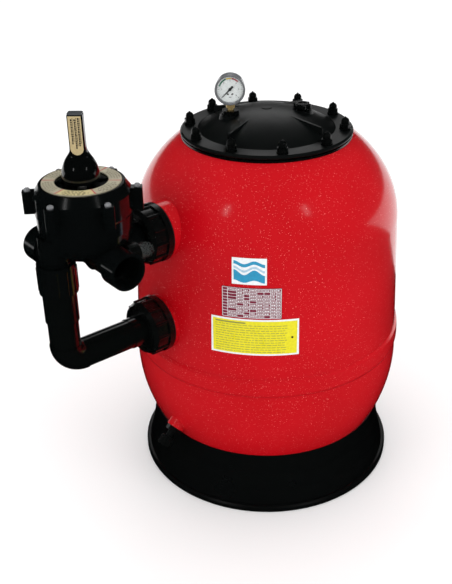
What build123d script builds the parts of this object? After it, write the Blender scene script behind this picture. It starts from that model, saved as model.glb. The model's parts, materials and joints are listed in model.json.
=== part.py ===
from build123d import *
import os
from math import asin, cos, degrees, radians, sin, sqrt

# Side-mount sand filter tank with a six-way valve.
# Frame, in millimetres: origin on the tank axis at floor level, +Z up, the valve on the -X side.

# ---- driving dimensions ------------------------------------------------------------------
WALL = 6.0                 # tank shell thickness
BELT_R = 248.75            # shell radius at the belt
BELT_Z = 237.0             # height of the seam between the two shell halves
SHOULDER_R = 236.8         # shell radius where the top dome starts
SHOULDER_Z = 499.5
TOP_DOME_H = 195.9         # semi-axis of the top dome
BOTTOM_DOME_H = 262.9      # semi-axis of the bottom dome
BOTTOM_Z = 6.0             # flattened underside of the tank, inside the base
NECK_R = 150.0             # edge of the dome under the lid
NECK_LAND_R = 143.0        # inner edge of the neck opening
BASE_LIP_R = 245.1
BASE_LIP_H = 12.0
BASE_FOOT_R = 238.0        # outside of the skirt just above its lip
BASE_TOP_R = 220.5
BASE_TOP_Z = 112.0
BASE_T = 5.0

LID_R = 150.7
LID_Z0 = 656.5             # underside of the lid flange
LID_Z1 = 663.5             # top of the lid flange
LID_DOME_R = 120.0
LID_APEX_Z = 696.5
LID_T = 5.5
LID_PORT_R = 63.0          # radius of the gauge and vent ports on the lid
GAUGE_AZ = 150.0
VENT_AZ = 330.0
STUD_PCD_R = 136.0
STUD_COUNT = 10
STUD_AZ0 = 24.0
STUD_R = 4.0

UPPER_PORT_Z = 535.0
LOWER_PORT_Z = 362.0
UPPER_FACE = 238.2         # distance of the upper boss face from the tank axis
UPPER_INNER = 200.0
LOWER_FACE = 245.5
LOWER_INNER = 231.0
BOSS_R = 48.5
UNION_R = 47.0             # body of the union nuts, inside their ribs
UNION_FLANGE_R = 50.3
PORT_HOLE_R = 33.0
PIPE_R = 25.0              # outside of the 50 mm pipe
PIPE_BORE_R = 21.0
SOCKET_BORE_R = 25.1
SOCKET_R = 30.0
SOCKET_L = 30.0

VALVE_X = -373.0           # axis of the valve
DUCT_X = -432.0            # axis of the valve's bottom port and of the vertical pipe
PORT_Z = 548.0             # height of the pump, return and waste ports
PUMP_X = -422.0
RETURN_X = -340.0
SIDE_PORT_Y = 66.0         # mouth of the pump and return ports
WASTE_Y = -116.0           # mouth of the waste port
VALVE_R = 76.0
LOBE_PCD_R = 84.0
LOBE_W = 15.0              # width of the screw lobes
LOBE_AZ0 = 25.5
SPLIT_Z = 632.0            # seam between valve body and cover
COVER_TOP_Z = 660.0
STEM_R = 7.0
HANDLE_AZ = 229.0          # the way the lever's labelled face looks
LEVER_W = 24.0
LEVER_T = 17.0
LEVER_TOP_Z = 768.0

GAUGE_Z = 734.5
GAUGE_R = 24.8
GAUGE_AHEAD = 3.5          # how far the case sits in front of its stem
DRAIN_AZ = 184.0
DRAIN_Z = 142.0
DRAIN_TILT = 42.0          # degrees below horizontal
DRAIN_STAND = 2.8          # how far the drain stands off the tank along its axis
MOUTH_R = 27.5             # relief bored in front of the side ports
MOUTH_CLEAR = 12.0         # depth of that relief
SIGHT_Y = -67.0
LABEL_STEPS = 8

GAP = 0.3                  # clearance between pieces that do not fit tightly
RUN = 0.06                 # radial clearance of a running fit


# ---- helpers -----------------------------------------------------------------------------
def polar(radius, azimuth, z=0.0):
    a = radians(azimuth)
    return (radius * cos(a), radius * sin(a), z)


def revolved(*edges):
    """Solid of revolution about Z of the closed outline made by lines and arcs in (radius, z)."""
    pieces = [edge for item in edges for edge in item.edges()]
    return revolve(make_face(Plane.XZ * Wire(pieces)), Axis.Z)


def turned(*points):
    """Solid of revolution about Z of a closed polygon of (radius, z) points."""
    return revolve(make_face(Plane.XZ * Polyline(*points, close=True)), Axis.Z)


def rod(radius, z0, z1):
    return Pos(0, 0, (z0 + z1) / 2) * Cylinder(radius, z1 - z0)


def ring(inner, outer, z0, z1):
    return rod(outer, z0, z1) - rod(inner, z0 - 1, z1 + 1)


def hexagon(flats, z0, z1):
    profile = RegularPolygon(flats / 2, 6, major_radius=False)
    return Pos(0, 0, z0) * extrude(profile, z1 - z0)


def block(x0, x1, y0, y1, z0, z1):
    return Pos((x0 + x1) / 2, (y0 + y1) / 2, (z0 + z1) / 2) * Box(x1 - x0, y1 - y0, z1 - z0)


def placed(shape, origin, z_dir, x_dir=(0, 0, 1)):
    """The shape moved so that its own Z axis runs along z_dir from origin."""
    return Plane(origin=origin, x_dir=x_dir, z_dir=z_dir).location * shape


def round_array(shape, count, start=0.0):
    """Copies of shape turned about Z, as a list."""
    return [Rot(0, 0, start + k * 360.0 / count) * shape for k in range(count)]


def wedge(azimuth, half_angle, z0, z1, reach=400.0):
    """A sector of a disc, used to cut labels out of a skin."""
    corners = [(0, 0), polar(reach, azimuth - half_angle)[:2]]
    corners += [polar(reach, azimuth)[:2], polar(reach, azimuth + half_angle)[:2]]
    return Pos(0, 0, z0) * extrude(make_face(Polyline(*corners, close=True)), z1 - z0)


def wall_radius(z):
    """Outside radius of the straight tapered wall."""
    share = (z - BELT_Z) / (SHOULDER_Z - BELT_Z)
    return BELT_R + share * (SHOULDER_R - BELT_R)


# ---- tank --------------------------------------------------------------------------------
def ellipse_angle(height, semi):
    return degrees(asin(height / semi))


def tank_radius(z):
    """Outside radius of the tank wall or top dome."""
    if z <= SHOULDER_Z:
        return wall_radius(z)
    return SHOULDER_R * sqrt(1 - ((z - SHOULDER_Z) / TOP_DOME_H) ** 2)


def bottom_arc(off):
    """Meridian of the bottom dome, off away from the outside, up to the belt."""
    semi = BOTTOM_DOME_H + off
    span = ellipse_angle(BELT_Z - BOTTOM_Z + off, semi)
    return EllipticalCenterArc(
        (0, BELT_Z), BELT_R + off, semi, start_angle=180 - span, arc_size=span, rotation=180
    )


def top_arc(off, neck):
    """Meridian of the top dome, off away from the outside, up to the neck radius."""
    semi = TOP_DOME_H + off
    shoulder = SHOULDER_R + off
    rise = semi * sqrt(1 - (neck / shoulder) ** 2)
    sweep_angle = ellipse_angle(rise, semi)
    return EllipticalCenterArc((0, SHOULDER_Z), shoulder, semi, start_angle=0, arc_size=sweep_angle)


def bottom_volume(off):
    arc = bottom_arc(off)
    floor = Line((0, BOTTOM_Z - off), arc @ 0)
    return revolved(floor, arc, Line(arc @ 1, (0, BELT_Z)), Line((0, BELT_Z), (0, BOTTOM_Z - off)))


def drain_place(shape):
    radius = BELT_R * sqrt(1 - ((BELT_Z - DRAIN_Z) / BOTTOM_DOME_H) ** 2)
    down = radians(DRAIN_TILT)
    axis = polar(cos(down), DRAIN_AZ, -sin(down))
    start = Pos(0, 0, DRAIN_STAND) * shape
    return placed(start, polar(radius, DRAIN_AZ, DRAIN_Z), axis, polar(sin(down), DRAIN_AZ, cos(down)))


def port_place(shape, z):
    """Local Z becomes the distance from the tank axis along the -X port axis."""
    return placed(shape, (0, 0, z), (-1, 0, 0))


def tank_lower_shell():
    outer = bottom_arc(0.0)
    inner = bottom_arc(-WALL)
    shell = revolved(
        Line((0, BOTTOM_Z), outer @ 0), outer, Line(outer @ 1, inner @ 1), inner,
        Line(inner @ 0, (0, BOTTOM_Z + WALL)), Line((0, BOTTOM_Z + WALL), (0, BOTTOM_Z)),
    )
    shell += drain_place(rod(17, -16, 5)) - bottom_volume(-WALL + 0.5)
    return shell - drain_place(rod(8.6, -40, 20))


def tank_upper_shell():
    outer = top_arc(0.0, NECK_R)
    inner = top_arc(-WALL, NECK_LAND_R)
    land = (NECK_LAND_R, (outer @ 1).Y)
    shell = revolved(
        Line((BELT_R, BELT_Z), outer @ 0), outer, Line(outer @ 1, land), Line(land, inner @ 1), inner,
        Line(inner @ 0, (BELT_R - WALL, BELT_Z)), Line((BELT_R - WALL, BELT_Z), (BELT_R, BELT_Z)),
    )
    shell += port_place(rod(BOSS_R, UPPER_INNER, UPPER_FACE), UPPER_PORT_Z)
    shell += port_place(rod(BOSS_R, LOWER_INNER, LOWER_FACE), LOWER_PORT_Z)
    for z in (UPPER_PORT_Z, LOWER_PORT_Z):
        shell -= port_place(rod(PORT_HOLE_R, 150, 300), z)
    return shell


def belt_band():
    """Soft raised band laid over the seam end of the upper shell."""
    z0 = BELT_Z + 25
    z1 = BELT_Z + 61
    crown = BELT_R + 2.2
    return turned(
        (wall_radius(z0) + 0.1, z0), (wall_radius(z0) + 1.2, z0), (crown - 0.6, z0 + 3.5), (crown, z0 + 8),
        (crown - 0.2, z0 + 20), (crown - 0.9, z1 - 6), (wall_radius(z1) + 1.0, z1 - 1.2),
        (wall_radius(z1) + 0.1, z1),
    )


def skirt_line(off):
    """Flared outline of the skirt from the lip to the tank, off away from the outside."""
    shares = ((0.0, 0.0), (0.28, 0.42), (0.62, 0.78), (1.0, 1.0))
    rise = BASE_TOP_Z - BASE_LIP_H
    taper = BASE_FOOT_R - BASE_TOP_R
    return [(BASE_FOOT_R - in_share * taper - off, BASE_LIP_H + up * rise) for up, in_share in shares]


def base_skirt():
    outer = turned(
        (200, 0), (BASE_LIP_R - 1.5, 0), (BASE_LIP_R, 1.5), (BASE_LIP_R, BASE_LIP_H - 3),
        (BASE_LIP_R - 3, BASE_LIP_H), *skirt_line(0.0), (BASE_TOP_R - 2, BASE_TOP_Z + 3),
        (200, BASE_TOP_Z + 3),
    )
    inner = turned(
        (0, BASE_T), *skirt_line(BASE_T), (BASE_TOP_R - BASE_T, BASE_TOP_Z + 10), (0, BASE_TOP_Z + 10)
    )
    skirt = outer - inner
    return skirt - rod(218, -1, 60) - bottom_volume(GAP)


def collar_ring():
    body = turned(
        (123, 636), (142.6, 636), (142.6, 651.4), (149.6, 651.4), (149.6, 654.8), (123, 654.8)
    )
    return body - stud_holes(3.98, 630, 660)


def stud_holes(radius, z0, z1):
    holes = Part()
    for k in range(STUD_COUNT):
        holes += Pos(*polar(STUD_PCD_R, STUD_AZ0 + 36 * k)) * rod(radius, z0, z1)
    return holes


def at_studs(shape):
    return Compound(round_array(Pos(STUD_PCD_R, 0, 0) * shape, STUD_COUNT, STUD_AZ0))


# ---- lid ---------------------------------------------------------------------------------
def dome_z(r, apex):
    """Height of the lid's spherical dome at radius r, for the given apex."""
    rise = LID_APEX_Z - LID_Z1
    ball = (LID_DOME_R ** 2 + rise ** 2) / (2 * rise)
    return apex - ball + sqrt(ball ** 2 - r ** 2)


def dome_arc(r, apex):
    return ThreePointArc((r, dome_z(r, apex)), (r / 2, dome_z(r / 2, apex)), (0, apex))


def lid_fin():
    """Radial web: straight top edge leaving the dome near the apex, upright outer end."""
    web = Polyline((30, 684), (30, 694.2), (110, 681.5), (113, 679), (113, 659), (60, 659), close=True)
    return extrude(make_face(Plane.XZ * web), 2, both=True)


def lid():
    r_in = LID_DOME_R - LID_T
    over = dome_arc(LID_DOME_R, LID_APEX_Z)
    under = dome_arc(r_in, LID_APEX_Z - LID_T)
    flange = Polyline(
        over @ 0, (LID_R - 3, LID_Z1), (LID_R, LID_Z1 - 3), (LID_R, LID_Z0 + 2),
        (LID_R - 2, LID_Z0), (r_in, LID_Z0), under @ 0,
    )
    axis = Line(under @ 1, over @ 1)
    cap = revolved(over, flange, under, axis)
    fins = Part() + round_array(lid_fin(), 4, GAUGE_AZ + 45)
    fins -= revolved(under, Line(under @ 1, (0, 600)), Line((0, 600), (r_in, 600)),
                     Line((r_in, 600), under @ 0))
    cap += fins
    cap += rod(9, LID_APEX_Z - 3, LID_APEX_Z + 0.8)
    for azimuth in (GAUGE_AZ, VENT_AZ):
        cap += Pos(*polar(LID_PORT_R, azimuth)) * Pos(0, 0, 683.5) * Cone(21, 18, 12)
        cap -= Pos(*polar(LID_PORT_R, azimuth)) * rod(7.2, 600, 760)
        cap -= Pos(*polar(LID_PORT_R, azimuth)) * rod(15.2, 687.4, 760)
    return cap - stud_holes(4.5, 600, 700)


def lid_studs():
    return at_studs(rod(STUD_R - 0.05, 638, 676))


def lid_washers():
    return at_studs(ring(4.4, 10, LID_Z1 + 0.05, LID_Z1 + 2.2))


def lid_cap_nuts():
    z0 = LID_Z1 + 2.25
    nut = hexagon(17, z0, z0 + 7) & rod(9.4, z0, z0 + 7)
    nut += rod(7.2, z0 + 7, z0 + 11)
    nut += (Pos(0, 0, z0 + 11) * Sphere(7.2)) & rod(8, z0 + 10.5, z0 + 30)
    nut += Pos(0, 0, z0 + 17.8) * Cone(2.8, 1.2, 3.4)
    return at_studs(nut - rod(STUD_R, z0 - 1, z0 + 11))


# ---- pressure gauge ----------------------------------------------------------------------
GAUGE_XY = polar(LID_PORT_R, GAUGE_AZ)


def gauge_place(shape):
    """Local Z is the way the dial looks, local X is up."""
    ahead = polar(GAUGE_AHEAD, HANDLE_AZ)
    origin = (GAUGE_XY[0] + ahead[0], GAUGE_XY[1] + ahead[1], GAUGE_Z)
    return placed(shape, origin, polar(1, HANDLE_AZ))


def gauge_bushing():
    bush = hexagon(27, 687.5, 697) & rod(14.6, 687, 698)
    bush += rod(7.1, 667, 687.5)
    return Pos(*GAUGE_XY) * (bush - rod(5.2, 660, 700))


def gauge_stem():
    stem = rod(5.1, 671, 700.5) + hexagon(14, 700.5, 709) + rod(3.0, 709, 714.5)
    return Pos(*GAUGE_XY) * (stem - rod(1.5, 660, 720))


def gauge_case():
    can = rod(GAUGE_R, -14, 9) - rod(GAUGE_R - 2, -12, 10)
    hole = Pos(*GAUGE_XY) * rod(3.1, 705, 716)
    return gauge_place(can.fillet(2.5, can.edges().group_by(Axis.Z)[0])) - hole


def gauge_tube():
    """Curved Bourdon tube behind the dial, with its tip block."""
    bend = revolve(Plane.XZ * Pos(15, 0) * Ellipse(1.2, 3.0), Axis.Z, 250)
    tip = Pos(15, 0, 0) * Box(5, 4, 6.4)
    return gauge_place(Pos(0, 0, -5) * (Rot(0, 0, -125) * (bend + tip)))


def gauge_dial():
    return gauge_place(ring(1.06, GAUGE_R - 2.2, 3.0, 3.8))


def gauge_needle():
    blade = Polyline((19, 0.35), (3, 1.1), (-7, 2.0), (-7, -2.0), (3, -1.1), (19, -0.35), close=True)
    pointer = Pos(0, 0, 4.6) * extrude(make_face(blade), 0.7)
    pointer += rod(2.6, 4.4, 6.0) + rod(1.0, -1.5, 4.4)
    return gauge_place(Rot(0, 0, 136) * pointer)


def gauge_lens():
    return gauge_place(rod(GAUGE_R - 2.1, 7.4, 9.0))


def gauge_bezel():
    rim = ring(GAUGE_R + 0.05, GAUGE_R + 1.2, 4.5, 9.1) + ring(GAUGE_R - 1.3, GAUGE_R + 1.2, 9.1, 11)
    return gauge_place(rim.chamfer(0.7, None, rim.edges().group_by(Axis.Z)[-1]))


# ---- air vent ----------------------------------------------------------------------------
VENT_XY = polar(LID_PORT_R, VENT_AZ)


def vent_body():
    body = hexagon(25, 687.5, 690.5) & rod(13.6, 687, 691)
    body += rod(7.1, 667, 687.5) + rod(6.0, 690.5, 695)
    return Pos(*VENT_XY) * (body - rod(2.5, 660, 710))


def vent_seal():
    return Pos(*VENT_XY) * ring(3.0, 5.6, 695.1, 696.5)


def vent_knob():
    knob = rod(12.2, 692.2, 700.5)
    for lobe in round_array(Pos(12.2, 0, 0) * rod(3.6, 692.2, 699.5), 6):
        knob += lobe
    knob -= rod(6.0 + RUN, 690, 696.8)
    knob -= rod(7.5, 699, 702)
    return Pos(*VENT_XY) * knob


# ---- tank connections --------------------------------------------------------------------
def bulkhead(face, inner, z):
    body = rod(32.6, inner - 24, face + 3.1) + rod(UNION_FLANGE_R, face + 3.1, face + 13)
    body += rod(36, face + 13, face + 33)
    body -= rod(PIPE_BORE_R, 0, 400)
    body -= ring(24, 30.2, face + 31, face + 34)
    return port_place(body, z)


def bulkhead_nuts():
    nut = hexagon(80, -15, -0.1) & rod(45, -15, 0)
    nut -= rod(32.65, -20, 5)
    upper = port_place(Pos(0, 0, UPPER_INNER) * nut, UPPER_PORT_Z)
    lower = port_place(Pos(0, 0, LOWER_INNER) * nut, LOWER_PORT_Z)
    return Compound([upper, lower])


def at_ports(shape):
    """One copy of shape at each tank connection, with local Z from the boss face outwards."""
    upper = port_place(Pos(0, 0, UPPER_FACE) * shape, UPPER_PORT_Z)
    lower = port_place(Pos(0, 0, LOWER_FACE) * shape, LOWER_PORT_Z)
    return Compound([upper, lower])


def union_nut(face, z):
    s0 = face + 13.4
    nut = turned((0, s0), (UNION_R, s0), (UNION_R, s0 + 22), (UNION_R - 4.5, s0 + 29), (0, s0 + 29))
    for rib in round_array(Pos(UNION_R - 0.8, 0, 0) * rod(3.6, s0, s0 + 22), 12):
        nut += rib
    nut -= rod(36 + RUN, s0 - 1, face + 36.8)
    nut -= rod(26.6, face, face + 60)
    return port_place(nut, z)


def tail_collar(face):
    return rod(34, face + 33.4, face + 36.5)


# ---- pipework ----------------------------------------------------------------------------
def lower_elbow_pipe():
    start = -(LOWER_FACE + 33.4)
    outer = port_place(tail_collar(LOWER_FACE) + rod(26.3, LOWER_FACE + 36, LOWER_FACE + 66), LOWER_PORT_Z)
    outer += port_place(rod(PIPE_R, LOWER_FACE + 36, -DUCT_X - 30), LOWER_PORT_Z)
    outer += Pos(DUCT_X, 0, 0) * rod(PIPE_R, LOWER_PORT_Z + 30, 469)
    outer += elbow(PIPE_R + 1.2)
    inner = port_place(rod(PIPE_BORE_R, -start - 1, -DUCT_X - 30), LOWER_PORT_Z)
    inner += Pos(DUCT_X, 0, 0) * rod(PIPE_BORE_R, LOWER_PORT_Z + 30, 480)
    inner += elbow(PIPE_BORE_R)
    return outer - inner


def elbow(radius):
    """Quarter bend from the horizontal leg up to the vertical pipe."""
    bend_r = 30.0
    path = CenterArc((DUCT_X + bend_r, LOWER_PORT_Z + bend_r), bend_r, 180, 90)
    rail = Plane.XZ * path
    start = Plane(origin=rail @ 0, z_dir=rail % 0)
    return sweep(start * Circle(radius), path=rail)


def pipe_coupling():
    sleeve = rod(27.4, 438, 488) + rod(23, 488, 516.5) + rod(26.2, 516.5, 521)
    sleeve -= rod(SOCKET_BORE_R, 430, 470)
    return Pos(DUCT_X, 0, 0) * (sleeve - rod(20, 430, 530))


def valve_union_seal():
    return Pos(DUCT_X, 0, 0) * ring(20.6, 25, 521.1, 523.2)


def valve_union_nut():
    nut = rod(31.0, 490.5, 541)
    for rib in round_array(Pos(29.6, 0, 0) * rod(2.4, 494, 534), 12):
        nut += rib
    nut -= rod(26.5 + RUN, 516.2, 545)
    return Pos(DUCT_X, 0, 0) * (nut - rod(23.4, 480, 520))


# ---- valve -------------------------------------------------------------------------------
def at_valve(shape):
    return Pos(VALVE_X, 0, 0) * shape


def lobes(z0, z1):
    outline = Pos(-3.5, 0) * RectangleRounded(23, LOBE_W, 3.0)
    return round_array(Pos(LOBE_PCD_R, 0, z0) * extrude(outline, z1 - z0), 6, LOBE_AZ0)


def screw_holes(radius, z0, z1):
    return round_array(Pos(LOBE_PCD_R, 0, 0) * rod(radius, z0, z1), 6, LOBE_AZ0)


def tube_y(x, z, radius, y0, y1):
    return placed(rod(radius, y0, y1), (x, 0, z), (0, 1, 0))


def tube_x(y, z, radius, x0, x1):
    return placed(rod(radius, x0, x1), (0, y, z), (1, 0, 0))


def valve_outside():
    bowl = turned(
        (0, 532), (20, 532), (27, 541), (50, 547), (64, 557), (72, 571), (74.5, 588), (75, 610),
        (76, 613), (76, SPLIT_Z), (0, SPLIT_Z),
    )
    shape = at_valve(bowl)
    for lobe in lobes(612, SPLIT_Z):
        shape += at_valve(lobe)
    shape += tube_x(0, UPPER_PORT_Z, 26, VALVE_X, -(UPPER_FACE + 33.4))
    shape += port_place(tail_collar(UPPER_FACE), UPPER_PORT_Z)
    shape += tube_y(VALVE_X, PORT_Z, 24, WASTE_Y + 20, 0)
    shape += tube_y(VALVE_X, PORT_Z, SOCKET_R, WASTE_Y, WASTE_Y + SOCKET_L + 1)
    for x in (PUMP_X, RETURN_X):
        shape += tube_y(x, PORT_Z, 26, 10, 50)
        shape += tube_y(x, PORT_Z, SOCKET_R, SIDE_PORT_Y - SOCKET_L - 3, SIDE_PORT_Y)
    shape -= tube_x(SIGHT_Y, PORT_Z, 18.5, -344.3, -280)
    shape += tube_x(SIGHT_Y, PORT_Z, 15, VALVE_X + 10, -337)
    shape -= Pos(DUCT_X, 0, 0) * rod(33, 480, 541.5)
    return shape + Pos(DUCT_X, 0, 0) * (rod(24.5, 541.6, 586) + rod(26.5, 523.4, 546))


def valve_passages():
    """Chamber above the port floor and the water ways to each port."""
    ways = at_valve(turned((0, 585), (62, 585), (66, 590), (66, 618), (69, 618), (69, 640), (0, 640)))
    ways += Pos(DUCT_X, 0, 0) * rod(20, 500, 574)
    ways += Pos(DUCT_X + 11, 0, 0) * rod(14, 565, 586)
    ways += tube_x(0, UPPER_PORT_Z, 20, VALVE_X + 30, -(UPPER_FACE + 30))
    ways += Pos(VALVE_X + 40, 0, 0) * rod(14, UPPER_PORT_Z, 586)
    ways += tube_y(VALVE_X, PORT_Z, 19, WASTE_Y, -35)
    ways += tube_y(VALVE_X, PORT_Z, SOCKET_BORE_R, WASTE_Y - 1, WASTE_Y + SOCKET_L)
    ways += Pos(VALVE_X, -42, 0) * rod(14, PORT_Z, 586)
    for x, rise_x in ((PUMP_X, PUMP_X + 14), (RETURN_X, RETURN_X - 8)):
        ways += tube_y(x, PORT_Z, 19, 34, SIDE_PORT_Y)
        ways += tube_y(x, PORT_Z, SOCKET_BORE_R, SIDE_PORT_Y - SOCKET_L, SIDE_PORT_Y + 1)
        ways += tube_y(x, PORT_Z, MOUTH_R, SIDE_PORT_Y - 0.5, SIDE_PORT_Y + MOUTH_CLEAR)
        ways += Pos(rise_x, 38, 0) * rod(12, PORT_Z, 586)
    return ways + tube_x(SIGHT_Y, PORT_Z, 10.5, VALVE_X + 5, -330)


def valve_body():
    body = valve_outside() - valve_passages()
    body -= at_valve(ring(70.9, 74, SPLIT_Z - 2, SPLIT_Z + 1))
    for hole in screw_holes(2.6, 614, 640):
        body -= at_valve(hole)
    return body


def valve_cover():
    z0 = SPLIT_Z + 0.3
    top = COVER_TOP_Z
    shell = turned(
        (STEM_R + RUN, 636), (13, 636), (13, 647), (36, 647), (38, 652), (60, 652), (70, 641),
        (70, z0), (VALVE_R, z0), (VALVE_R, 645), (66.5, top - 0.6), (65.5, top), (41, top),
        (41, top - 1), (31.5, top - 1), (31.5, 653), (STEM_R + RUN, 653),
    )
    shell -= ring(STEM_R - 1, 9.6, 641, 643.6)
    for notch in round_array(block(29, 41, -6, 6, 654, top + 1), 6, 30):
        shell -= notch
    for lobe in lobes(z0, 648):
        shell += lobe - rod(69, 600, 700)
    for hole in screw_holes(2.8, 620, 660):
        shell -= hole
    return at_valve(shell)


def valve_cover_seal():
    return at_valve(ring(71, 73.9, SPLIT_Z - 1.9, SPLIT_Z + 0.2))


def valve_screws():
    screw = rod(2.5, 616, 648.1) + rod(5.0, 648.1, 650.6)
    screw += (Pos(0, 0, 648.2) * Sphere(5.4)) & rod(5.0, 650, 653.4)
    screw -= block(-6, 6, -0.6, 0.6, 651.6, 655)
    screw -= block(-0.6, 0.6, -6, 6, 651.6, 655)
    return at_valve(Compound(round_array(Pos(LOBE_PCD_R, 0, 0) * screw, 6, LOBE_AZ0)))


def valve_index_plate():
    return at_valve(ring(41.2, 61.6, COVER_TOP_Z + 0.05, COVER_TOP_Z + 1.4))


def valve_port_plate():
    plate = ring(STEM_R + 0.6, 68.7, 618.1, 624)
    for hole in round_array(Pos(38, 0, 0) * rod(13, 600, 640), 6, LOBE_AZ0):
        plate -= hole
    return at_valve(plate)


def spider_gasket():
    star = ring(54, 59, 613, 618) + ring(12, 17, 613, 618)
    for spoke in round_array(block(16, 55, -2, 2, 613, 618), 6, LOBE_AZ0 + 30):
        star += spoke
    return at_valve(star)


def valve_rotor():
    disc = rod(60, 603, 612.6) + rod(14, 596.5, 603)
    for azimuth in (LOBE_AZ0, LOBE_AZ0 + 180):
        disc -= Pos(*polar(38, azimuth)) * rod(12, 590, 620)
    return at_valve(disc - rod(STEM_R + 0.03, 590, 620))


def valve_stem():
    return at_valve(rod(STEM_R, 597, 704) - handle_turned(rod(2.55, -20, 20)))


def stem_seal():
    return at_valve(ring(STEM_R + 0.05, 9.5, 641.1, 643.5))


def handle_turned(shape):
    """Local Z of the pin lies across the lever, through the stem."""
    return placed(shape, (0, 0, 697), polar(1, HANDLE_AZ + 90), (0, 0, 1))


def valve_spring():
    coil = Helix(pitch=6.2, height=31.0, radius=14.0)
    start = Plane(origin=coil @ 0, z_dir=coil % 0)
    wire = sweep(start * Circle(1.25), path=coil, is_frenet=True)
    return at_valve(Pos(0, 0, 655) * wire)


def spring_washer():
    return at_valve(ring(STEM_R + 0.3, 17.5, 687.6, 689.4))


def valve_handle():
    hub = turned(
        (0, 662), (28.5, 662), (30, 663.5), (30, 670), (28.6, 676), (25.5, 684), (19.5, 693),
        (13, 700), (8, 704.4), (0, 706),
    )
    lever = extrude(RectangleRounded(LEVER_T, LEVER_W, 3.0), LEVER_TOP_Z - 680)
    hub += Rot(0, 0, HANDLE_AZ) * Pos(0, 0, 680) * lever
    for side in (-1, 1):
        web = Polyline((side * 8, 684), (side * 21, 690), (side * 12, 712), (side * 8, 712), close=True)
        flat = extrude(make_face(Plane.YZ * web), 5.0, both=True)
        hub += Rot(0, 0, HANDLE_AZ) * flat
    hub -= rod(19.5, 660, 689.5)
    hub -= rod(STEM_R + 0.04, 660, 704.2)
    return at_valve(hub - handle_turned(rod(2.56, -25, 25)))


def handle_pin():
    return at_valve(handle_turned(rod(2.5, -13, 13)))


def handle_label():
    half = LEVER_W / 2 - 2.2
    outline = Pos(0, 25) * Rectangle(2 * half, 50) + Circle(half)
    tag = extrude(outline, 0.6)
    face = Plane(origin=polar(LEVER_T / 2 + 0.05, HANDLE_AZ, 714.6), x_dir=polar(1, HANDLE_AZ + 90),
                 z_dir=polar(1, HANDLE_AZ))
    return at_valve(face.location * tag)


def sight_glass():
    cup = rod(15.5, -338, -330) + rod(13, -330, -308)
    cup += (Pos(0, 0, -308) * Sphere(13)) & rod(13, -308.1, -290)
    cup -= rod(10.5, -339, -308)
    cup -= Pos(0, 0, -308) * Sphere(10.5)
    cup &= rod(20, -336.9, -290)
    return placed(cup, (0, SIGHT_Y, PORT_Z), (1, 0, 0))


def sight_glass_ring():
    nut = ring(15.6, 18, -344, -329.8) + ring(13.2, 18, -329.8, -326)
    for rib in round_array(Pos(17.6, 0, 0) * rod(1.2, -343, -328), 12):
        nut += rib
    return placed(nut - rod(15.6, -345, -329.8), (0, SIGHT_Y, PORT_Z), (1, 0, 0))


# ---- drain -------------------------------------------------------------------------------
def drain_body():
    body = rod(8.4, -18, 5.2) + hexagon(26, 5.2, 14) + rod(7.5, 14, 25) + rod(9.0, 25, 37)
    return drain_place(body - rod(5, -20, 40))


def drain_seal():
    return drain_place(ring(5.4, 8.6, 37.1, 39.0))


def drain_cap():
    cap = rod(13, 26, 44)
    for rib in round_array(Pos(12.6, 0, 0) * rod(1.5, 27, 43), 14):
        cap += rib
    return drain_place(cap - rod(9.0 + RUN, 25.5, 39.3))


# ---- water ways inside the tank ------------------------------------------------------------
def inlet_riser():
    z = UPPER_PORT_Z
    outer = port_place(rod(20.7, 0, UPPER_INNER - 12), z) + rod(20.7, z, 588) + Pos(0, 0, z) * Sphere(20.7)
    inner = port_place(rod(17, 0, 400), z) + rod(17, z, 600) + Pos(0, 0, z) * Sphere(17)
    return outer - inner


def diffuser():
    cup = turned((17.2, 588.3), (30, 588.3), (62, 604), (62, 608), (58, 608), (30, 592), (17.2, 592))
    lid_plate = rod(62, 622, 625)
    for post in round_array(Pos(56, 0, 0) * rod(3, 604, 623), 6):
        lid_plate += post
    return cup + lid_plate


def outlet_pipe():
    z = LOWER_PORT_Z
    outer = port_place(rod(20.7, 0, LOWER_INNER - 12), z) + rod(20.7, 112, z) + Pos(0, 0, z) * Sphere(20.7)
    inner = port_place(rod(17, 0, 400), z) + rod(17, 100, z) + Pos(0, 0, z) * Sphere(17)
    return outer - inner


def collector_hub():
    hub = rod(45, 62, 104) + rod(26, 104, 120)
    hub -= rod(40, 67, 99) + rod(21, 90, 121)
    for hole in round_array(placed(rod(11.1, 30, 50), (0, 0, 82), (1, 0, 0)), 8):
        hub -= hole
    return hub


def collector_laterals():
    arm = placed(rod(11, 41, 165) - rod(8, 40, 162), (0, 0, 82), (1, 0, 0))
    for k in range(9):
        arm -= block(60 + 11 * k, 62 + 11 * k, -12, 12, 84, 95)
    return Compound(round_array(arm, 8))


# ---- labels --------------------------------------------------------------------------------
def label(azimuth, half_angle, z0, z1):
    """Thin sheet following the tank's outside."""
    levels = [z0 + (z1 - z0) * k / LABEL_STEPS for k in range(LABEL_STEPS + 1)]
    back = [(tank_radius(z) + 0.1, z) for z in levels]
    front = [(tank_radius(z) + 0.6, z) for z in reversed(levels)]
    return turned(*back, *front) & wedge(azimuth, half_angle, z0 - 1, z1 + 1)


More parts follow.
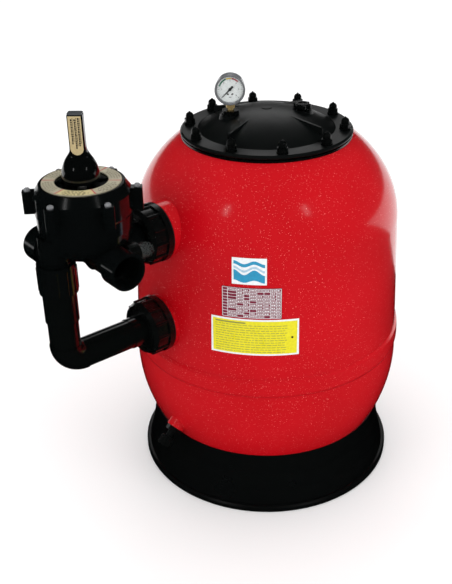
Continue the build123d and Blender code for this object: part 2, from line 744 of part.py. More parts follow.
NODES = {
    "base_skirt": base_skirt,
    "tank_lower_shell": tank_lower_shell,
    "tank_upper_shell": tank_upper_shell,
    "belt_band": belt_band,
    "collar_ring": collar_ring,
    "lid_gasket": lambda: ring(124, 130, 654.9, 656.4),
    "lid": lid,
    "lid_studs": lid_studs,
    "lid_washers": lid_washers,
    "lid_cap_nuts": lid_cap_nuts,
    "gauge_bushing": gauge_bushing,
    "gauge_stem": gauge_stem,
    "gauge_case": gauge_case,
    "gauge_tube": gauge_tube,
    "gauge_dial": gauge_dial,
    "gauge_needle": gauge_needle,
    "gauge_lens": gauge_lens,
    "gauge_bezel": gauge_bezel,
    "vent_body": vent_body,
    "vent_seal": vent_seal,
    "vent_knob": vent_knob,
    "upper_bulkhead": lambda: bulkhead(UPPER_FACE, UPPER_INNER, UPPER_PORT_Z),
    "bulkhead_nuts": bulkhead_nuts,
    "bulkhead_gaskets": lambda: at_ports(ring(PORT_HOLE_R, 47.5, 0.05, 3.05)),
    "union_seals": lambda: at_ports(ring(24.1, 30.1, 31.05, 33.25)),
    "upper_union_nut": lambda: union_nut(UPPER_FACE, UPPER_PORT_Z),
    "lower_bulkhead": lambda: bulkhead(LOWER_FACE, LOWER_INNER, LOWER_PORT_Z),
    "lower_union_nut": lambda: union_nut(LOWER_FACE, LOWER_PORT_Z),
    "lower_elbow_pipe": lower_elbow_pipe,
    "pipe_coupling": pipe_coupling,
    "valve_union_seal": valve_union_seal,
    "valve_union_nut": valve_union_nut,
    "valve_body": valve_body,
    "valve_cover": valve_cover,
    "valve_cover_seal": valve_cover_seal,
    "valve_screws": valve_screws,
    "valve_index_plate": valve_index_plate,
    "valve_port_plate": valve_port_plate,
    "spider_gasket": spider_gasket,
    "valve_rotor": valve_rotor,
    "valve_stem": valve_stem,
    "stem_seal": stem_seal,
    "valve_spring": valve_spring,
    "spring_washer": spring_washer,
    "valve_handle": valve_handle,
    "handle_pin": handle_pin,
    "handle_label": handle_label,
    "sight_glass": sight_glass,
    "sight_glass_ring": sight_glass_ring,
    "drain_body": drain_body,
    "drain_seal": drain_seal,
    "drain_cap": drain_cap,
    "inlet_riser": inlet_riser,
    "diffuser": diffuser,
    "outlet_pipe": outlet_pipe,
    "collector_hub": collector_hub,
    "collector_laterals": collector_laterals,
    "label_notice": lambda: label(224.6, 17.6, 345.5, 413),
    "label_table": lambda: label(223.4, 11.9, 415, 470.5),
    "label_badge": lambda: label(222.5, 6.9, 476.5, 523),
}

os.makedirs("parts", exist_ok=True)
for name, make in NODES.items():
    export_step(make(), f"parts/{name}.step")
print(len(NODES), "nodes")
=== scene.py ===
import json
import math
import random

import bpy
from mathutils import Matrix, Vector


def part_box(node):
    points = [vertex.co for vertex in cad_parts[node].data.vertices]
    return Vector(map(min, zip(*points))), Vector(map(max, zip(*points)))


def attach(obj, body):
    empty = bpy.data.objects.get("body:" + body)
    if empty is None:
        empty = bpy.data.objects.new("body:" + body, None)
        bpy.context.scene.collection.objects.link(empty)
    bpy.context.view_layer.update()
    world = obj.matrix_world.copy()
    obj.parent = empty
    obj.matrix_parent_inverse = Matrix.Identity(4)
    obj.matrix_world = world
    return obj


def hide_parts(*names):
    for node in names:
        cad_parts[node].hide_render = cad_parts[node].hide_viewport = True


# Sand filter tank with a side-mount six-way valve: finishes, print on its labels, camera and light.
# Everything is in metres: origin on the tank axis at floor level, +Z up, the valve on the -X side.

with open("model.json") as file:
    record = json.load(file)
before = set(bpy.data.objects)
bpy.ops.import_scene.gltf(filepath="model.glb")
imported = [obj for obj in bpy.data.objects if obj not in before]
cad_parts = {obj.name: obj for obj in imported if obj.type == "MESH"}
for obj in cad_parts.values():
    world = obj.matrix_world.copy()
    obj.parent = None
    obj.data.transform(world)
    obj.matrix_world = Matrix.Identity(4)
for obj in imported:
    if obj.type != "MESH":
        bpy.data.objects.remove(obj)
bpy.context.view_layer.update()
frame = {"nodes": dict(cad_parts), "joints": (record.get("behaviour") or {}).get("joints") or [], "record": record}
NODES = frame["nodes"]
JOINTS = {joint["name"]: joint for joint in frame["joints"]}

# ---- places taken from the frame ---------------------------------------------------------
VALVE_AXIS = Vector(JOINTS["handle_turn"]["pos_m"]) * Vector((1, 1, 0))
GAUGE_CENTRE = Vector(JOINTS["needle_turn"]["pos_m"])
GAUGE_FACE = -Vector(JOINTS["needle_turn"]["axis"])
HANDLE_AZ = math.degrees(math.atan2(GAUGE_FACE.y, GAUGE_FACE.x))   # the lever's label looks the same way
INDEX_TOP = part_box("valve_index_plate")[1].z
LEVER_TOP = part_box("valve_handle")[1].z
LEVER_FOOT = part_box("valve_handle")[0].z


def heights(node):
    low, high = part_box(node)
    return low.z, high.z


NOTICE_LOW, NOTICE_HIGH = heights("label_notice")
TABLE_LOW, TABLE_HIGH = heights("label_table")
BADGE_LOW, BADGE_HIGH = heights("label_badge")

# ---- driving sizes -----------------------------------------------------------------------
MM = 0.001
BELT_R, BELT_Z = 0.24875, 0.237
SHOULDER_R, SHOULDER_Z, DOME_H = 0.2368, 0.4995, 0.1959
NOTICE_AZ, NOTICE_HALF = 224.6, 17.6      # middle and half width of each label, in degrees
TABLE_AZ, TABLE_HALF = 223.4, 11.9
BADGE_AZ, BADGE_HALF = 222.5, 6.9
SKIN = 0.55 * MM                          # labels stand 0.6 mm off the wall, print sinks in a little

INDEX_IN, INDEX_OUT = 41.5 * MM, 61.3 * MM
LEVER_AROUND = 96
LEVER_FACE = 9.15 * MM                    # front of the lever's label, from the valve axis
# height share, half thickness and half width in mm, squareness of the outline
LEVER_STATIONS = (
    (0.000, 28.0, 28.0, 2.0), (0.008, 28.6, 28.6, 2.0), (0.020, 29.0, 29.0, 2.0),
    (0.070, 29.4, 29.4, 2.0), (0.125, 28.9, 28.9, 2.0), (0.180, 27.0, 27.8, 2.0),
    (0.235, 24.0, 26.0, 2.05), (0.280, 20.4, 24.0, 2.15), (0.320, 16.0, 21.8, 2.3),
    (0.345, 13.2, 20.0, 2.5), (0.365, 11.0, 18.6, 2.8), (0.385, 9.3, 17.1, 3.3),
    (0.400, 8.6, 16.0, 4.0), (0.440, 8.5, 13.4, 5.0), (0.465, 8.5, 12.6, 6.0),
    (0.520, 8.5, 12.1, 7.0), (0.700, 8.5, 12.0, 8.0), (0.850, 8.5, 12.0, 8.0),
    (0.960, 8.5, 12.0, 8.0), (0.975, 8.3, 11.8, 8.0), (0.981, 7.8, 11.3, 8.0),
)
DIAL_FRONT = 3.8 * MM                     # dial surface, ahead of the needle's centre
DIAL_START, TICK_STEP, TICKS = -135, 9, 31

BACK_AZ = 49.0                            # straight away from the camera
FLOOR_REACH = 30.0
MIRRORED_FROM = 0.70                      # glossy surfaces show the floor from this far behind the axis
CAMERA_AT = (-1.0127, -1.1649, 1.1852)
CAMERA_HEADING, CAMERA_PITCH, CAMERA_ROLL = 38.17, 28.892, -1.137
CAMERA_LENS = 56.66
# name, azimuth, distance, height, size, power, seen in reflections
LAMPS = (
    ("left_box", 175.0, 2.8, 2.0, (1.4, 1.8), 8, False),
    ("right_box", 285.0, 2.8, 2.0, (1.4, 1.8), 12, False),
    ("back_box", BACK_AZ, 3.0, 2.6, (1.6, 1.3), 8, True),
    ("left_strip", 190.0, 2.4, 2.3, (0.16, 0.5), 0.9, True),
    ("right_strip", 268.0, 2.4, 2.3, (0.16, 0.5), 0.9, True),
)


def tank_radius(z):
    """Outside radius of the tank wall or top dome at height z."""
    if z > SHOULDER_Z:
        return SHOULDER_R * math.sqrt(1 - ((z - SHOULDER_Z) / DOME_H) ** 2)
    return BELT_R + (z - BELT_Z) / (SHOULDER_Z - BELT_Z) * (SHOULDER_R - BELT_R)


def polar(radius, azimuth, z=0.0):
    a = math.radians(azimuth)
    return Vector((radius * math.cos(a), radius * math.sin(a), z))


# ---- node material helpers ---------------------------------------------------------------
class Shade:
    """One Principled material with short calls for its texture nodes."""

    def __init__(self, name, color, roughness, **sockets):
        self.material = bpy.data.materials.new(name)
        self.material.use_nodes = True
        self.tree = self.material.node_tree
        self.bsdf = self.tree.nodes["Principled BSDF"]
        self.set("Base Color", (*color, 1.0))
        self.set("Roughness", roughness)
        for key, value in sockets.items():
            self.set(key.replace("_", " "), value)
        self.coords = self.node("ShaderNodeTexCoord").outputs["Object"]

    def set(self, socket, value):
        self.bsdf.inputs[socket].default_value = value

    def node(self, kind, **inputs):
        made = self.tree.nodes.new(kind)
        for key, value in inputs.items():
            made.inputs[key.replace("_", " ")].default_value = value
        return made

    def link(self, output, target):
        self.tree.links.new(output, target)

    def stretched(self, scale):
        mapping = self.node("ShaderNodeMapping", Scale=scale)
        self.link(self.coords, mapping.inputs["Vector"])
        return mapping.outputs["Vector"]

    def noise(self, scale, detail=4.0, rough=0.55, coords=None):
        made = self.node("ShaderNodeTexNoise", Scale=scale, Detail=detail, Roughness=rough)
        self.link(coords or self.coords, made.inputs["Vector"])
        return made.outputs["Fac"]

    def ramp(self, value, low, high, out_low=0.0, out_high=1.0):
        made = self.node("ShaderNodeMapRange")
        made.inputs["From Min"].default_value = low
        made.inputs["From Max"].default_value = high
        made.inputs["To Min"].default_value = out_low
        made.inputs["To Max"].default_value = out_high
        self.link(value, made.inputs["Value"])
        return made.outputs["Result"]

    def math(self, operation, first, second=None):
        made = self.tree.nodes.new("ShaderNodeMath")
        made.operation = operation
        for slot, value in zip(made.inputs, (first, second)):
            if isinstance(value, (int, float)):
                slot.default_value = value
            elif value is not None:
                self.link(value, slot)
        return made.outputs[0]

    def mix(self, factor, first, second):
        """Colour mix. first and second are colours or outputs."""
        made = self.tree.nodes.new("ShaderNodeMix")
        made.data_type = "RGBA"
        self.link(factor, made.inputs["Factor"])
        for name, value in (("A", first), ("B", second)):
            slot = [s for s in made.inputs if s.name == name and s.type == "RGBA"][0]
            if isinstance(value, tuple):
                slot.default_value = (*value, 1.0)
            else:
                self.link(value, slot)
        return [s for s in made.outputs if s.type == "RGBA"][0]

    def bump(self, height, distance, strength=1.0, under=None):
        made = self.node("ShaderNodeBump", Distance=distance, Strength=strength)
        self.link(height, made.inputs["Height"])
        if under is not None:
            self.link(under, made.inputs["Normal"])
        return made.outputs["Normal"]

    def finish(self, color=None, roughness=None, normal=None):
        pairs = (("Base Color", color), ("Roughness", roughness), ("Normal", normal))
        for socket, value in pairs:
            if value is not None:
                self.link(value, self.bsdf.inputs[socket])
        return self.material


def gelcoat_red():
    """Glossy red gelcoat with pale flakes set in it. The flakes are real; their pale pinkish-white colour is a
    painted glint.
    """
    s = Shade("gelcoat_red", (0.58, 0.003, 0.011), 0.45, Coat_Weight=1.0, Coat_Roughness=0.15)
    s.set("Specular IOR Level", 0.05)
    cloud = s.ramp(s.noise(5.0, 3.0), 0.3, 0.7)
    color = s.mix(cloud, (0.47, 0.0012, 0.005), (0.54, 0.0018, 0.007))
    flakes_and_glints = None
    # real flakes in the gelcoat; their pale pinkish-white colour (the second tint below) is a painted glint, while
    # the lower roughness on them is real
    for scale, size, share in ((430.0, 0.24, 0.91), (760.0, 0.26, 0.89)):
        cells = s.node("ShaderNodeTexVoronoi", Scale=scale)
        s.link(s.coords, cells.inputs["Vector"])
        parts = s.tree.nodes.new("ShaderNodeSeparateColor")
        s.link(cells.outputs["Color"], parts.inputs["Color"])
        near = s.math("LESS_THAN", cells.outputs["Distance"], size)
        chosen = s.math("GREATER_THAN", parts.outputs["Red"], share)
        flake_and_glint = s.math("MULTIPLY", near, chosen)
        tint = s.mix(parts.outputs["Green"], (0.60, 0.008, 0.015), (0.95, 0.26, 0.24))
        color = s.mix(flake_and_glint, color, tint)
        flakes_and_glints = flake_and_glint if flakes_and_glints is None else s.math("MAXIMUM", flakes_and_glints, flake_and_glint)
    wave = s.bump(s.noise(9.0, 2.0), 0.0012, 0.35)
    peel = s.bump(s.noise(160.0, 3.0), 0.00012, 0.5, wave)
    return s.finish(color, s.ramp(flakes_and_glints, 0, 1, 0.42, 0.28), peel)


def moulded_black(name, color, rough_low, rough_high, grain, depth, **sockets):
    """Injection-moulded black plastic: fine grain, cloudy gloss and faint rubbed streaks."""
    s = Shade(name, color, rough_high, **sockets)
    cloud = s.noise(14.0, 5.0)
    rubbed = s.noise(38.0, 8.0, 0.6, s.stretched((1.0, 1.0, 6.0)))
    worn = s.ramp(rubbed, 0.62, 0.78)
    lighter = tuple(min(1.0, c * 1.7 + 0.0008) for c in color)
    tone = s.mix(s.math("MULTIPLY", worn, 0.6), color, lighter)
    rough = s.math("ADD", s.ramp(cloud, 0.3, 0.7, rough_low, rough_high), s.math("MULTIPLY", worn, 0.06))
    soft = s.bump(s.noise(60.0, 2.0), 0.0003, 0.25)
    return s.finish(tone, rough, s.bump(s.noise(grain, 3.0), depth, 0.5, soft))


def metal(name, color, roughness, brushed):
    s = Shade(name, color, roughness, Metallic=0.6)
    lines = s.noise(90.0, 6.0, 0.6, s.stretched(brushed))
    rough = s.ramp(lines, 0.3, 0.7, roughness * 0.7, roughness * 1.5)
    dark = tuple(c * 0.72 for c in color)
    tone = s.mix(s.ramp(s.noise(120.0, 4.0), 0.35, 0.75), color, dark)
    return s.finish(tone, rough, s.bump(lines, 0.00006, 0.4))


def printed(name, color, roughness=0.35, **sockets):
    """Printed ink or film: slight mottling and a faint film texture."""
    s = Shade(name, color, roughness, **sockets)
    dark = tuple(c * 0.86 for c in color)
    tone = s.mix(s.ramp(s.noise(220.0, 4.0), 0.35, 0.7), color, dark)
    rough = s.ramp(s.noise(70.0, 3.0), 0.3, 0.7, roughness * 0.8, roughness * 1.25)
    return s.finish(tone, rough, s.bump(s.noise(500.0, 2.0), 0.00005, 0.3))


def clear_plastic(name, tint, roughness):
    s = Shade(name, tint, roughness, IOR=1.45, Alpha=0.045)
    haze = s.ramp(s.noise(45.0, 4.0), 0.35, 0.75, roughness * 0.6, roughness * 2.0)
    return s.finish(None, haze, s.bump(s.noise(80.0, 2.0), 0.00008, 0.3))


def white_plastic():
    s = Shade("moulded_white", (0.78, 0.78, 0.74), 0.4)
    tone = s.mix(s.ramp(s.noise(30.0, 5.0), 0.4, 0.8), (0.80, 0.80, 0.77), (0.66, 0.65, 0.58))
    return s.finish(tone, None, s.bump(s.noise(500.0, 3.0), 0.0001, 0.4))


M = {
    "tank_red": gelcoat_red(),
    "base_black": moulded_black("base_black", (0.0022, 0.0030, 0.0030), 0.26, 0.38, 900.0, 0.0002),
    "lid_black": moulded_black("lid_black", (0.0030, 0.0046, 0.0044), 0.32, 0.44, 700.0, 0.0003),
    "plastic_black": moulded_black("plastic_black", (0.0022, 0.0030, 0.0028), 0.20, 0.32, 800.0, 0.0002),
    "valve_black": moulded_black("valve_black", (0.0018, 0.0026, 0.0026), 0.11, 0.20, 500.0, 0.0001),
    "pipe_black": moulded_black("pipe_black", (0.0018, 0.0026, 0.0024), 0.13, 0.24, 500.0, 0.0001),
    "handle_black": moulded_black("handle_black", (0.0016, 0.0020, 0.0020), 0.06, 0.13, 400.0, 0.00005),
    "rubber_black": moulded_black("rubber_black", (0.012, 0.012, 0.012), 0.6, 0.75, 600.0, 0.0003),
    "steel": metal("bright_steel", (0.52, 0.53, 0.55), 0.22, (1.0, 1.0, 8.0)),
    "chrome": metal("gauge_steel", (0.42, 0.43, 0.45), 0.16, (1.0, 1.0, 10.0)),
    "brass": metal("machined_brass", (0.80, 0.58, 0.25), 0.25, (1.0, 1.0, 12.0)),
    "dial_white": printed("dial_white", (0.95, 0.99, 0.98), 0.4),
    "needle_black": printed("needle_black", (0.01, 0.01, 0.012), 0.4),
    "clear": clear_plastic("clear_window", (0.20, 0.21, 0.21), 0.03),
    "index_gold": printed("index_beige", (0.46, 0.42, 0.30), 0.38),
    "plastic_white": white_plastic(),
    "label_gold": printed("label_gold", (0.62, 0.49, 0.26), 0.36, Metallic=0.2),
    "label_yellow": printed("label_film", (0.84, 0.86, 0.88), 0.3),
    "label_print": printed("table_film", (0.20, 0.012, 0.04), 0.3),
    "label_white": printed("badge_film", (0.86, 0.88, 0.90), 0.3),
    "ink_yellow": printed("ink_yellow", (0.80, 0.72, 0.01), 0.32),
    "ink_white": printed("ink_white", (0.82, 0.80, 0.82), 0.32),
    "ink_dark": printed("ink_dark", (0.008, 0.008, 0.009), 0.4),
    "ink_olive": printed("ink_olive", (0.30, 0.30, 0.06), 0.4),
    "ink_blue": printed("ink_blue", (0.02, 0.30, 0.52), 0.32),
    "ink_pale_blue": printed("ink_pale_blue", (0.42, 0.60, 0.74), 0.32),
    "ink_brown": printed("ink_brown", (0.07, 0.05, 0.03), 0.4),
    "ink_green": printed("ink_green", (0.03, 0.22, 0.12), 0.4),
    "ink_amber": printed("ink_amber", (0.85, 0.62, 0.10), 0.4),
    "ink_straw": printed("ink_straw", (0.60, 0.52, 0.27), 0.4),
    "ink_red": printed("ink_red", (0.50, 0.03, 0.06), 0.4),
    "cap_grey": printed("cap_grey", (0.06, 0.065, 0.07), 0.3),
}


def paint_cad():
    """Each CAD node takes the finish of its record slot."""
    for part in frame["record"]["subparts"]:
        node = NODES[part["node"]]
        node.data.materials.clear()
        node.data.materials.append(M[part["material_slot"]])


# ---- mesh helpers ------------------------------------------------------------------------
def mesh_piece(name, verts, faces, material, body, smooth=False):
    mesh = bpy.data.meshes.new(name)
    mesh.from_pydata([tuple(v) for v in verts], [], faces)
    mesh.validate()
    mesh.materials.append(M[material])
    for polygon in mesh.polygons:
        polygon.use_smooth = smooth
    piece = bpy.data.objects.new(name, mesh)
    bpy.context.scene.collection.objects.link(piece)
    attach(piece, body)
    return piece


class Print:
    """Thin closed tiles laid on a surface. place(u, v, w) gives the point at u, v and height w."""

    def __init__(self, name, material, body, slot, place, step, base, top):
        self.head = (name, material, body, slot)
        self.place, self.step, self.base, self.top = place, step, base, top
        self.verts, self.faces = [], []

    def strip(self, outline_low, outline_high):
        """A closed tile between two rows of (u, v) points of the same length."""
        start = len(self.verts)
        count = len(outline_low)
        for w in (self.base, self.top):
            for row in (outline_low, outline_high):
                self.verts += [self.place(u, v, w) for u, v in row]
        low, high, low_top, high_top = (start + k * count for k in range(4))
        for i in range(count - 1):
            self.faces.append((low + i, high + i, high + i + 1, low + i + 1))
            self.faces.append((low_top + i, low_top + i + 1, high_top + i + 1, high_top + i))
            self.faces.append((low + i, low + i + 1, low_top + i + 1, low_top + i))
            self.faces.append((high + i, high_top + i, high_top + i + 1, high + i + 1))
        last = count - 1
        self.faces.append((low, low_top, high_top, high))
        self.faces.append((low + last, high + last, high_top + last, low_top + last))

    def tile(self, u0, u1, v0, v1):
        count = max(2, int(abs(u1 - u0) / self.step) + 2)
        us = [u0 + (u1 - u0) * k / (count - 1) for k in range(count)]
        self.strip([(u, v0) for u in us], [(u, v1) for u in us])

    def words(self, u0, u1, v, height, rng, longest, gap):
        """A row of short bars in place of lettering."""
        u = u0
        while u < u1 - longest * 0.3:
            length = min(rng.uniform(0.35, 1.0) * longest, u1 - u)
            self.tile(u, u + length, v, v + height)
            u += length + gap

    def done(self):
        name, material, body, slot = self.head
        return mesh_piece(name, self.verts, self.faces, material, body)


# ---- decals on the tank ------------------------------------------------------------------
def on_tank(azimuth):
    """u runs to the right round the tank from azimuth, v is the height, w stands off the wall."""
    def place(u, v, w):
        r = tank_radius(v)
        return polar(r + w, azimuth + math.degrees(u / r), v)
    return place


def tank_print(name, material, slot, azimuth, height=0.8):
    return Print(name, material, "tank", slot, on_tank(azimuth), 3 * MM, SKIN, height * MM)


def half_width(degrees_half, low, high):
    """Half the length round the tank of a label, at its middle height."""
    return math.radians(degrees_half) * tank_radius((low + high) / 2)


def notice_label():
    """Yellow field with a white border, small lines of print and a warning dot."""
    half = half_width(NOTICE_HALF, NOTICE_LOW, NOTICE_HIGH)
    edge = 3.2 * MM
    low, high = NOTICE_LOW + edge, NOTICE_HIGH - edge
    field = tank_print("notice_field", "ink_yellow", "label_yellow", NOTICE_AZ, 0.75)
    field.tile(-half + edge, half - edge, low, high)
    field.done()
    rng = random.Random(4)
    text = tank_print("notice_text", "ink_olive", "label_yellow", NOTICE_AZ, 0.85)
    pitch = 4.5 * MM
    for row in range(12):
        v = high - 9 * MM - row * pitch
        text.words(-half + 8 * MM, half - 20 * MM, v, 1.0 * MM, rng, 9 * MM, 1.6 * MM)
    text.tile(-half + 8 * MM, -0.2 * half, high - 5.4 * MM, high - 2.8 * MM)
    text.done()
    dot = tank_print("notice_dot", "ink_dark", "label_yellow", NOTICE_AZ, 0.9)
    middle = (low + high) / 2
    dot.tile(half - 13 * MM, half - 9.6 * MM, middle - 1.7 * MM, middle + 1.7 * MM)
    dot.done()


def table_label():
    """Table of settings: white rules and figures on dark red, white header row."""
    half = half_width(TABLE_HALF, TABLE_LOW, TABLE_HIGH) - 1.2 * MM
    low, high = TABLE_LOW + 1.2 * MM, TABLE_HIGH - 1.2 * MM
    columns = [0.0, 0.09, 0.25, 0.37, 0.47, 0.59, 0.71, 0.82, 0.92, 1.0]
    rows = 10
    width, height = 2 * half, high - low
    grid = tank_print("table_grid", "ink_white", "label_print", TABLE_AZ)
    for share in columns:
        u = -half + share * width
        grid.tile(u - 0.4 * MM, u + 0.4 * MM, low, high)
    for k in range(rows + 1):
        v = low + height * k / rows
        grid.tile(-half, half, v - 0.35 * MM, v + 0.35 * MM)
    rng = random.Random(9)
    for k in range(rows):
        v = low + height * (k + 0.3) / rows
        for a, b in zip(columns[1:], columns[2:]):
            u0, u1 = -half + a * width + 1.4 * MM, -half + b * width - 1.4 * MM
            if k == rows - 1 or rng.random() < 0.85:
                grid.words(u0, u1, v, 1.9 * MM, rng, 3.4 * MM, 0.9 * MM)
    grid.done()


def badge_label():
    """Plain generic mark: two bands of waves on white."""
    half = half_width(BADGE_HALF, BADGE_LOW, BADGE_HIGH) - 3 * MM
    span = BADGE_HIGH - BADGE_LOW
    wave = tank_print("badge_wave", "ink_blue", "label_white", BADGE_AZ)
    pale = tank_print("badge_pale", "ink_pale_blue", "label_white", BADGE_AZ)
    us = [-half + 2 * half * k / 24 for k in range(25)]

    def crest(share, swing):
        level = BADGE_LOW + share * span
        return [(u, level + swing * span * math.sin(u / half * 1.5 * math.pi)) for u in us]

    wave.strip(crest(0.12, 0.05), crest(0.46, 0.10))
    wave.strip(crest(0.72, 0.06), crest(0.84, 0.06))
    pale.strip(crest(0.54, 0.08), crest(0.62, 0.08))
    wave.done()
    pale.done()


# ---- valve -------------------------------------------------------------------------------
def on_index(u, v, w):
    """u is an azimuth in degrees, v a radius, w a height over the index plate."""
    return VALVE_AXIS + polar(v, u, INDEX_TOP + w)


def index_print():
    """Six sectors: dividing lines, a straw-coloured front sector and rows of small marks."""
    first = HANDLE_AZ - 30.0
    field = Print("index_field", "ink_straw", "tank", "index_gold", on_index, 3.0, -0.2 * MM, 0.06 * MM)
    field.tile(HANDLE_AZ - 29, HANDLE_AZ + 29, INDEX_IN + 1 * MM, INDEX_OUT - 1 * MM)
    field.done()
    lines = Print("index_lines", "ink_red", "tank", "index_gold", on_index, 3.0, -0.2 * MM, 0.15 * MM)
    for k in range(6):
        edge = first + 60 * k
        lines.tile(edge - 1.0, edge + 1.0, INDEX_IN, INDEX_OUT)
    lines.done()
    rim = Print("index_rim", "ink_brown", "tank", "index_gold", on_index, 3.0, -0.2 * MM, 0.14 * MM)
    rim.tile(0.0, 360.0, INDEX_OUT - 0.4 * MM, INDEX_OUT)
    rim.tile(0.0, 360.0, INDEX_IN, INDEX_IN + 0.4 * MM)
    rim.done()
    rng = random.Random(2)
    marks = Print("index_marks", "ink_brown", "tank", "index_gold", on_index, 3.0, -0.2 * MM, 0.12 * MM)
    for k in range(6):
        centre = first + 30 + 60 * k
        for radius, spread in ((45.0, 17), (49.2, 21), (53.4, 22), (57.2, 18)):
            marks.words(centre - spread, centre + spread, radius * MM, 1.9 * MM, rng, 5.0, 3.2)
    marks.done()


def lever_ring(share, half_t, half_w, power):
    """Rounded outline of the lever at a share of its height."""
    turn = Matrix.Rotation(math.radians(HANDLE_AZ), 3, "Z")
    level = Vector((0, 0, LEVER_FOOT + share * (LEVER_TOP - LEVER_FOOT)))
    ring = []
    for k in range(LEVER_AROUND):
        a = 2 * math.pi * k / LEVER_AROUND
        c, s = math.cos(a), math.sin(a)
        x = math.copysign(abs(c) ** (2 / power), c) * half_t * MM
        y = math.copysign(abs(s) ** (2 / power), s) * half_w * MM
        ring.append(VALVE_AXIS + turn @ Vector((x, y, 0)) + level)
    return ring


def skin(rings):
    """Faces of a closed body through rings of points, both ends closed."""
    faces = []
    for row in range(rings - 1):
        for k in range(LEVER_AROUND):
            a, b = row * LEVER_AROUND + k, row * LEVER_AROUND + (k + 1) % LEVER_AROUND
            faces.append((a, b, b + LEVER_AROUND, a + LEVER_AROUND))
    top = (rings - 1) * LEVER_AROUND
    faces.append(tuple(range(LEVER_AROUND - 1, -1, -1)))
    faces.append(tuple(range(top, top + LEVER_AROUND)))
    return faces


def handle_lever():
    """Round skirt that draws up into a flat upright lever, and the small cap on its top."""
    verts = [v for station in LEVER_STATIONS for v in lever_ring(*station)]
    faces = skin(len(LEVER_STATIONS))
    lever = mesh_piece("handle_lever", verts, faces, "handle_black", "handle", True)
    lever.modifiers.new("edges", "EDGE_SPLIT").split_angle = math.radians(50)
    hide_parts("valve_handle")
    rows = []
    for lift, inset in ((0.0, 1.0), (1.6, 1.0), (2.2, 0.93)):
        for v in verts[-LEVER_AROUND:]:
            flat = (v - VALVE_AXIS) * Vector((1, 1, 0)) * inset
            rows.append(VALVE_AXIS + flat + Vector((0, 0, v.z + lift * MM)))
    mesh_piece("handle_cap", rows, skin(3), "cap_grey", "handle")


def handle_print():
    """Three columns of small marks down the lever's label."""
    side = polar(1, HANDLE_AZ + 90)
    out = polar(1, HANDLE_AZ)

    def place(u, v, w):
        return VALVE_AXIS + side * v + out * (LEVER_FACE + w) + Vector((0, 0, u))

    rng = random.Random(7)
    sink, stand = -0.3 * MM, 0.12 * MM
    marks = Print("handle_marks", "ink_dark", "handle", "label_gold", place, 9 * MM, sink, stand)
    for v, low in ((-6.2 * MM, 0.722), (-1.0 * MM, 0.715), (4.2 * MM, 0.719)):
        marks.words(low, 0.762, v, 2.2 * MM, rng, 3.4 * MM, 0.9 * MM)
        marks.words(low + 0.004, 0.762, v + 2.8 * MM, 0.9 * MM, rng, 2.6 * MM, 0.8 * MM)
    marks.done()


# ---- gauge -------------------------------------------------------------------------------
def on_dial(u, v, w):
    """u is a clock angle in degrees, clockwise to the viewer, v a radius, w ahead of the dial."""
    a = math.radians(u)
    right = Vector((0, 0, 1)).cross(GAUGE_FACE)
    centre = GAUGE_CENTRE + GAUGE_FACE * (DIAL_FRONT + w)
    return centre + right * (v * math.sin(a)) + Vector((0, 0, v * math.cos(a)))


def dial_print(name, material):
    return Print(name, material, "tank", "dial_white", on_dial, 3.0, -0.1 * MM, 0.1 * MM)


def gauge_print():
    for name, ink, start, end in (("dial_low", "ink_green", -74, -22), ("dial_mid", "ink_amber", -20, 8),
                                  ("dial_high", "ink_red", 10, 46)):
        arc = dial_print(name, ink)
        arc.tile(start, end, 17.3 * MM, 19.7 * MM)
        arc.done()
    ticks = dial_print("dial_ticks", "ink_dark")
    for k in range(TICKS):
        angle = DIAL_START + TICK_STEP * k
        long_tick = k % 5 == 0
        ticks.tile(angle - 0.7, angle + 0.7, (18.0 if long_tick else 20.2) * MM, 21.6 * MM)
    ticks.done()
    for k in range(7):
        angle = DIAL_START + 5 * TICK_STEP * k
        number(f"dial_number_{k}", str(k), angle, 14.6 * MM, 3.0 * MM)
    marks = dial_print("dial_marks", "ink_dark")
    for angle in (156, 204):
        marks.tile(angle - 11, angle + 11, 8.2 * MM, 10.4 * MM)
    marks.tile(172, 188, 13.2 * MM, 14.2 * MM)
    marks.done()


def number(name, text, angle, radius, size):
    """One figure of the dial's scale, upright, as a thin mesh."""
    curve = bpy.data.curves.new(name + "_curve", "FONT")
    curve.body = text
    curve.size = size * 1.35
    curve.align_x = "CENTER"
    curve.align_y = "CENTER"
    curve.extrude = 0.05 * MM
    source = bpy.data.objects.new(name + "_source", curve)
    bpy.context.scene.collection.objects.link(source)
    bpy.context.view_layer.update()
    mesh = bpy.data.meshes.new_from_object(source.evaluated_get(bpy.context.evaluated_depsgraph_get()))
    bpy.data.objects.remove(source)
    right = Vector((0, 0, 1)).cross(GAUGE_FACE)
    basis = Matrix((right, Vector((0, 0, 1)), GAUGE_FACE)).transposed().to_4x4()
    mesh.transform(Matrix.Translation(on_dial(angle, radius, 0.04 * MM)) @ basis)
    mesh.materials.clear()
    mesh.materials.append(M["ink_dark"])
    mesh.name = name
    piece = bpy.data.objects.new(name, mesh)
    bpy.context.scene.collection.objects.link(piece)
    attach(piece, "tank")


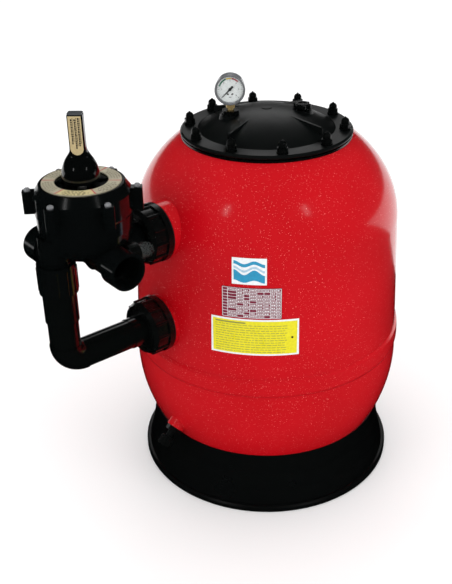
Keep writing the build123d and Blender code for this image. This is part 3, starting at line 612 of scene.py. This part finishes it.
# ---- studio ------------------------------------------------------------------------------
def camera():
    data = bpy.data.cameras.new("photo_view")
    data.lens = CAMERA_LENS
    data.sensor_width = 36.0
    data.clip_end = 60.0
    eye = bpy.data.objects.new("photo_view", data)
    bpy.context.scene.collection.objects.link(eye)
    heading, pitch, roll = map(math.radians, (CAMERA_HEADING, CAMERA_PITCH, CAMERA_ROLL))
    turn = (Matrix.Rotation(-heading, 4, "Z") @ Matrix.Rotation(math.pi / 2 - pitch, 4, "X")
            @ Matrix.Rotation(roll, 4, "Z"))
    eye.matrix_world = Matrix.Translation(CAMERA_AT) @ turn
    bpy.context.scene.camera = eye


def softbox(name, azimuth, reach, height, size, power, mirrored):
    """Rectangular lamp aimed at the tank. mirrored says whether glossy surfaces show it."""
    data = bpy.data.lights.new(name, "AREA")
    data.shape = "RECTANGLE"
    data.size, data.size_y = size
    data.energy = power
    lamp = bpy.data.objects.new(name, data)
    bpy.context.scene.collection.objects.link(lamp)
    lamp.location = polar(reach, azimuth, height)
    aim = Vector((0, 0, 0.35)) - lamp.location
    lamp.rotation_euler = aim.to_track_quat("-Z", "Y").to_euler()
    lamp.visible_glossy = mirrored


def floor_part(name, material, front, back, mirrored):
    """Strip of the floor between two distances behind the tank axis, seen from the camera."""
    mesh = bpy.data.meshes.new(name)
    away = polar(1, BACK_AZ)
    side = polar(FLOOR_REACH, BACK_AZ + 90)
    corners = [away * front - side, away * front + side, away * back + side, away * back - side]
    mesh.from_pydata(corners, [], [(3, 2, 1, 0)])
    mesh.materials.append(material)
    floor = bpy.data.objects.new(name, mesh)
    bpy.context.scene.collection.objects.link(floor)
    floor.visible_glossy = mirrored


def studio():
    s = Shade("studio_floor", (0.96, 0.96, 0.96), 0.6)
    s.set("Specular IOR Level", 0.0)
    tone = s.mix(s.ramp(s.noise(3.0, 4.0), 0.3, 0.7), (0.965, 0.965, 0.965), (0.955, 0.955, 0.957))
    pale = s.finish(tone)
    floor_part("floor_front", pale, -FLOOR_REACH, MIRRORED_FROM, False)
    floor_part("floor_back", pale, MIRRORED_FROM, FLOOR_REACH, True)
    world = bpy.data.worlds.new("studio")
    world.use_nodes = True
    world.node_tree.nodes["Background"].inputs["Color"].default_value = (1.0, 1.0, 1.0, 1.0)
    world.node_tree.nodes["Background"].inputs["Strength"].default_value = 1.12
    bpy.context.scene.world = world
    world.cycles_visibility.glossy = False
    for lamp in LAMPS:
        softbox(*lamp)
    bpy.context.scene.view_settings.view_transform = "Standard"


paint_cad()
notice_label()
table_label()
badge_label()
index_print()
handle_lever()
handle_print()
gauge_print()
camera()
studio()
